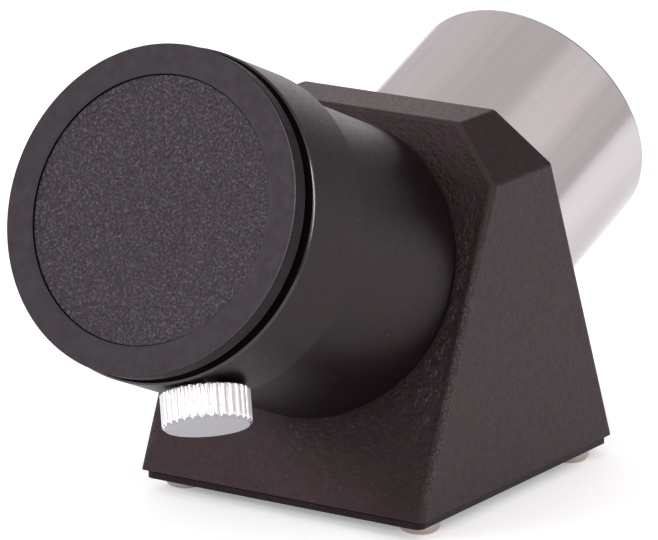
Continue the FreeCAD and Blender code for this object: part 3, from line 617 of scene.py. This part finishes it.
# ------------------------------------------------------------------------------------------
# Knob: 30 rounded lobes with narrow grooves between them, chamfered at both ends.
# ------------------------------------------------------------------------------------------
def build_knob():
    lobes, per = 30, 14
    segments = lobes * per
    low, high = 19.15, 23.15
    top_r, root, face_r = 5.05, 4.70, 4.68
    verts, faces, rings = [], [], []
    angles = [2 * math.pi * s / segments for s in range(segments)]

    def lobe(angle):
        share = abs(math.sin(lobes * angle / 2.0))
        return root + (top_r - root) * share ** 0.50

    def add_ring(points):
        ring = []
        for r, a, z in points:
            ring.append(len(verts))
            verts.append((r * math.cos(a), r * math.sin(a), z))
        rings.append(ring)

    for z in (low, low + 0.04, low + 0.1, low + 0.2):
        lid = 4.83 + math.sqrt(max(0.0, 0.22**2 - max(0.0, low + 0.22 - z) ** 2))
        add_ring([(min(lobe(a), lid), a, z) for a in angles])
    # the flutes run up to the cone of the outer chamfer, which leaves a scalloped edge
    for i in range(9):
        share = i / 8
        add_ring([(lobe(a), a, low + 0.3 + (high - (lobe(a) - face_r) - low - 0.3) * share) for a in angles])
    chamfer_from = (len(rings) - 1) * segments
    for share in (0.06, 0.5, 0.94):
        add_ring([(lobe(a) + (face_r - lobe(a)) * share, a, high - (lobe(a) - face_r) * (1.0 - share)) for a in angles])
    add_ring([(face_r, a, high) for a in angles])
    for a, b in zip(rings, rings[1:]):
        for s in range(segments):
            t = (s + 1) % segments
            faces.append((a[s], a[t], b[t], b[s]))
    side_faces = len(faces)

    def ring_of(r, z):
        ring = []
        for s in range(segments):
            a = 2 * math.pi * s / segments
            ring.append(len(verts))
            verts.append((r * math.cos(a), r * math.sin(a), z))
        return ring

    # outer face: turned flat, very slightly dished
    last = rings[-1]
    for r, z in ((4.62, high), (4.5, high), (3.0, high - 0.006), (1.2, high - 0.010)):
        ring = ring_of(r, z)
        for s in range(segments):
            t = (s + 1) % segments
            faces.append((last[s], last[t], ring[t], ring[s]))
        last = ring
    centre = len(verts)
    verts.append((0, 0, high - 0.011))
    for s in range(segments):
        faces.append((last[s], last[(s + 1) % segments], centre))
    # inner face and bore for the shank
    last = rings[0]
    for r, z in ((4.2, low), (1.75, low), (1.54, low + 0.2), (1.54, 22.45)):
        ring = ring_of(r, z)
        for s in range(segments):
            t = (s + 1) % segments
            faces.append((last[t], last[s], ring[s], ring[t]))
        last = ring
    centre = len(verts)
    verts.append((0, 0, 22.45))
    for s in range(segments):
        faces.append((last[(s + 1) % segments], last[s], centre))
    obj = new_piece("thumbscrew_knob_fluted", verts, faces, THUMB_FRAME, "thumbscrew_knob", CHROME, sharp_deg=50)
    obj.data.materials.append(CHROME_FACE_PAINTED_SHADE)
    inv = THUMB_FRAME.inverted()
    # the outer face and the chamfer faces take the darker, painted-shade chrome
    for poly in obj.data.polygons:
        c = inv @ (Vector(poly.center) / MM)
        if chamfer_from <= poly.index < side_faces or c.z > high - 0.02:
            poly.material_index = 1
    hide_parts("thumbscrew_knob")
    return obj


build_knob()


# ------------------------------------------------------------------------------------------
# Dust cap: rim and recessed pebbled panel in one moulding.
# ------------------------------------------------------------------------------------------
def build_cap():
    segments = 480
    top, panel = 51.65, 51.40
    outer = [
        (14.5, 50.0), (14.5, 46.0), (14.5, 44.85), (14.62, 44.7), (15.45, 44.7), (15.62, 44.86),
        (15.75, 45.15), (15.75, 46.5), (15.75, 48.27), (15.78, 48.35), (16.9, 48.35), (17.0, 48.45),
        (17.0, 49.0), (17.0, 49.58), (17.08, 49.66), (18.4, 49.66),
    ]
    outer += arc(18.48, 49.78, 0.12, -90, 0, 4)
    outer += [(18.6, 50.2), (18.6, 50.8), (18.6, 51.3)]
    outer += arc(18.45, 51.50, 0.15, 0, 90, 6)
    outer += [(18.3, top), (18.0, top)]
    # a faint moulded wave in the rim, then the step down to the panel
    r = 17.8
    while r > 15.4:
        outer.append((r, top))
        r -= 0.2
    outer += [(15.27, top)]
    outer += arc(15.22, top - 0.05, 0.05, 90, 180, 4)
    outer += [(15.17, top - 0.12), (15.17, panel + 0.02), (15.15, panel), (15.05, panel)]
    r = 14.94
    while r > 0.2:
        outer.append((r, panel))
        r -= 0.105
    outer.append((0.0, panel))
    inner = [(0.0, 50.0), (7.0, 50.0), (13.0, 50.0)]
    verts, faces = lathe(outer + inner, segments)
    out = []
    for x, y, z in verts:
        r = math.hypot(x, y)
        if abs(z - panel) < 0.001 and r < 14.96:
            fade = min(1.0, (14.96 - r) / 0.4)
            p = Vector((x, y, 0.0))
            q = p + noise.noise_vector(p * 1.6) * 0.3
            d = noise.voronoi(q * 2.2)[0]
            pebble = min(1.0, (d[1] - d[0]) * 2.0)
            z += fade * (0.072 * (pebble - 1.0) + 0.012 * noise.noise(p * 6.0) - 0.014)
        elif z > top - 0.001 and 15.4 < r < 18.2:
            a = math.atan2(y, x)
            z += 0.012 * (noise.noise(Vector((math.cos(a) * 1.3, math.sin(a) * 1.3, r * 0.5))) - 1.0)
        out.append((x, y, z))
    obj = new_piece("dust_cap_moulding", out, faces, FRONT_FRAME, "dust_cap", CAP_RIM, sharp_deg=35)
    obj.data.materials.append(CAP_PANEL)
    obj.data.materials.append(SHADOW_BLACK)
    obj.data.materials.append(CAP_SIDE_PAINTED_SHADE)
    obj.data.materials.append(CAP_EDGE)
    inv = FRONT_FRAME.inverted()
    for poly in obj.data.polygons:
        c = inv @ (Vector(poly.center) / MM)
        r = math.hypot(c.x, c.y)
        if c.z > panel - 0.15 and r < 15.04:
            poly.material_index = 1
        # painted shade: the skirt in the gap under the flange and the wall of the panel recess get the near-black shade
        # material
        elif 48.0 < c.z < 49.7 and r < 17.2:
            poly.material_index = 2
        elif panel - 0.05 < c.z < top - 0.03 and r < 15.22:
            poly.material_index = 2
        elif c.z > 49.62 and r > 18.56:
            poly.material_index = 3
        elif c.z > 51.48 and r > 18.44:
            poly.material_index = 4
    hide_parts("dust_cap")
    return obj


build_cap()


def build_collar_edge():
    """Crisp machined bevel round the front of the collar, with the end face inside it painted near-black as painted
    shade of the gap under the cap.
    """
    lift = 0.010
    end, radius, bevel = 48.32 + lift, 18.95 + lift, 0.22
    outline = [
        (16.22, 48.05), (16.22, end - 0.06), (16.28, end), (17.2, end), (radius - bevel - 0.03, end),
        (radius - bevel, end - 0.008), (radius - bevel + 0.02, end - 0.025), (radius - 0.02, end - bevel + 0.025),
        (radius, end - bevel), (radius, end - bevel - 0.06), (radius - 0.2, 48.05),
    ]
    verts, faces = lathe(outline, 480)
    obj = new_piece("collar_front_edge", verts, faces, FRONT_FRAME, "root", TUBE_EDGE, sharp_deg=50)
    obj.data.materials.append(SHADOW_BLACK)
    inv = FRONT_FRAME.inverted()
    for poly in obj.data.polygons:
        c = inv @ (Vector(poly.center) / MM)
        # painted shade: the end face inside the bevel takes the near-black shade material
        if math.hypot(c.x, c.y) < radius - bevel - 0.01:
            poly.material_index = 1


build_collar_edge()

# ------------------------------------------------------------------------------------------
# Nosepiece: turned barrel with a soft lip and the fine filter thread cut in its bore.
# ------------------------------------------------------------------------------------------
def build_nosepiece():
    end = 36.07
    outline = [(13.5, 9.2), (14.9, 9.2), (15.0, 9.3), (15.0, 12.33), (15.03, 12.365), (15.80, 12.365), (15.875, 12.43)]
    outline += [(15.875, 12.43 + (end - 0.6 - 12.43) * i / 24) for i in range(1, 25)]
    outline += arc(15.375, end - 0.5, 0.5, 0, 90, 10)
    outline += [(15.3, end), (14.62, end)]
    outline += arc(14.62, end - 0.12, 0.12, 90, 165, 4)
    outline += [(14.42, end - 0.32)]
    z = end - 0.42
    pitch = 0.6
    while z > 31.3:
        outline += [(14.36, z), (14.36, z - 0.05), (14.07, z - 0.27), (14.05, z - 0.30), (14.07, z - 0.33), (14.34, z - 0.55)]
        z -= pitch
    outline += [(14.05, 31.2), (13.6, 31.2), (13.5, 31.1), (13.5, 20.0)]
    clean = []
    for p in outline:
        if not clean or math.hypot(p[0] - clean[-1][0], p[1] - clean[-1][1]) > 1e-4:
            clean.append(p)
    verts, faces = lathe(clean, 256)
    obj = new_piece("nosepiece_barrel", verts, faces, REAR_FRAME, "root", SILVER, sharp_deg=22)
    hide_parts("nosepiece")


build_nosepiece()

# ------------------------------------------------------------------------------------------
# Studio: pale floor, soft lights, camera.
# ------------------------------------------------------------------------------------------
def build_stage():
    mesh = bpy.data.meshes.new("floor")
    mesh.from_pydata([(-6, -6, 0), (6, -6, 0), (6, 6, 0), (-6, 6, 0)], [], [(0, 1, 2, 3)])
    floor = bpy.data.objects.new("floor", mesh)
    bpy.context.scene.collection.objects.link(floor)
    n = Nodes("floor_paper")
    tone = n.range(n.noise(3.0, 2.0), 0.3, 0.7, 0.0, 1.0)
    mesh.materials.append(n.out(n.mix(tone, (0.92, 0.94, 0.945), (0.94, 0.96, 0.965)), 0.9, Emission_Color=(0.97, 1.0, 1.0, 1.0), Emission_Strength=0.305))


def area(name, place, target, size, power, colour=(1, 1, 1), shape="RECTANGLE", size_y=None):
    data = bpy.data.lights.new(name, "AREA")
    data.shape = shape
    data.size = size
    if size_y is not None:
        data.size_y = size_y
    data.energy = power
    data.color = colour
    obj = bpy.data.objects.new(name, data)
    bpy.context.scene.collection.objects.link(obj)
    obj.location = place
    direction = Vector(target) - Vector(place)
    obj.rotation_euler = direction.to_track_quat("-Z", "Y").to_euler()
    return obj


def build_world():
    """Even white studio, a little warm, with a few soft brighter and darker parts."""
    world = bpy.data.worlds.new("studio")
    bpy.context.scene.world = world
    world.use_nodes = True
    tree = world.node_tree
    background = tree.nodes["Background"]
    coords = tree.nodes.new("ShaderNodeTexCoord")
    split = tree.nodes.new("ShaderNodeSeparateXYZ")
    tree.links.new(coords.outputs["Generated"], split.inputs[0])
    ramp = tree.nodes.new("ShaderNodeValToRGB")
    stops = [(0.0, 0.62), (0.10, 0.66), (0.22, 0.76), (0.45, 0.80), (0.75, 0.76), (0.93, 0.67), (1.0, 0.66)]
    while len(ramp.color_ramp.elements) < len(stops):
        ramp.color_ramp.elements.new(0.5)
    for element, (pos, level) in zip(ramp.color_ramp.elements, stops):
        element.position = pos
        element.color = (level, level * 0.935, level * 0.94, 1)
    tree.links.new(split.outputs["Z"], ramp.inputs["Fac"])
    colour = ramp.outputs["Color"]
    # direction, inner and outer radius in degrees, factor
    patches = (
        ((0.85, -0.22, 0.50), 14, 36, 0.08),
        ((0.46, -0.56, 0.69), 4, 22, 1.42),
        ((0.89, 0.38, 0.20), 5, 26, 2.1),
        ((0.97, -0.18, 0.13), 4, 17, 2.2),
        ((-0.64, -0.36, 0.72), 18, 46, 1.58),
        ((-0.80, -0.53, 0.20), 8, 40, 0.60),
    )
    for direction, inner, outer, factor in patches:
        dot = tree.nodes.new("ShaderNodeVectorMath")
        dot.operation = "DOT_PRODUCT"
        dot.inputs[1].default_value = tuple(Vector(direction).normalized())
        tree.links.new(coords.outputs["Generated"], dot.inputs[0])
        fade = tree.nodes.new("ShaderNodeMapRange")
        fade.interpolation_type = "SMOOTHSTEP"
        fade.inputs["From Min"].default_value = math.cos(math.radians(outer))
        fade.inputs["From Max"].default_value = math.cos(math.radians(inner))
        fade.inputs["To Min"].default_value = 1.0
        fade.inputs["To Max"].default_value = factor
        tree.links.new(dot.outputs["Value"], fade.inputs["Value"])
        mix = tree.nodes.new("ShaderNodeMix")
        mix.data_type = "RGBA"
        mix.blend_type = "MULTIPLY"
        mix.clamp_result = False
        [i for i in mix.inputs if i.name == "Factor" and i.type == "VALUE"][0].default_value = 1.0
        tree.links.new(colour, [i for i in mix.inputs if i.name == "A" and i.type == "RGBA"][0])
        tree.links.new(fade.outputs["Result"], [i for i in mix.inputs if i.name == "B" and i.type == "RGBA"][0])
        colour = [o for o in mix.outputs if o.type == "RGBA"][0]
    tree.links.new(colour, background.inputs["Color"])
    background.inputs["Strength"].default_value = 1.14


def build_camera():
    azimuth, elevation, roll = math.radians(-57.42), math.radians(15.001), math.radians(0.317)
    target = Vector((-1.318 + 7.749, 6.262, 21.475 + 2.5)) * MM
    back = Vector(
        (math.sin(azimuth) * math.cos(elevation), -math.cos(azimuth) * math.cos(elevation), math.sin(elevation))
    )
    right = (-back).cross(Vector((0, 0, 1))).normalized()
    up = right.cross(-back).normalized()
    r = right * math.cos(roll) + up * math.sin(roll)
    u = up * math.cos(roll) - right * math.sin(roll)
    data = bpy.data.cameras.new("photo_camera")
    data.sensor_width = 36.0
    data.sensor_fit = "HORIZONTAL"
    data.lens = 5805.3 * 36.0 / 658.0
    data.clip_start = 0.01
    data.clip_end = 50.0
    cam = bpy.data.objects.new("photo_camera", data)
    bpy.context.scene.collection.objects.link(cam)
    m = Matrix.Identity(4)
    place = target + back * 0.681206
    for i in range(3):
        m[i][0], m[i][1], m[i][2], m[i][3] = r[i], u[i], back[i], place[i]
    cam.matrix_world = m
    bpy.context.scene.camera = cam


build_stage()
build_world()
area("key_softbox", (-0.92, 0.36, 0.54), (0, 0, 0.03), 0.18, 5.2, (0.95, 0.97, 1.0))
area("window", (-0.34, -0.80, 0.52), (0, 0, 0.04), 0.065, 2.7, (1.0, 0.90, 0.90), size_y=0.75)
build_camera()
bpy.context.scene.view_settings.view_transform = "Standard"
bpy.context.scene.view_settings.look = "None"
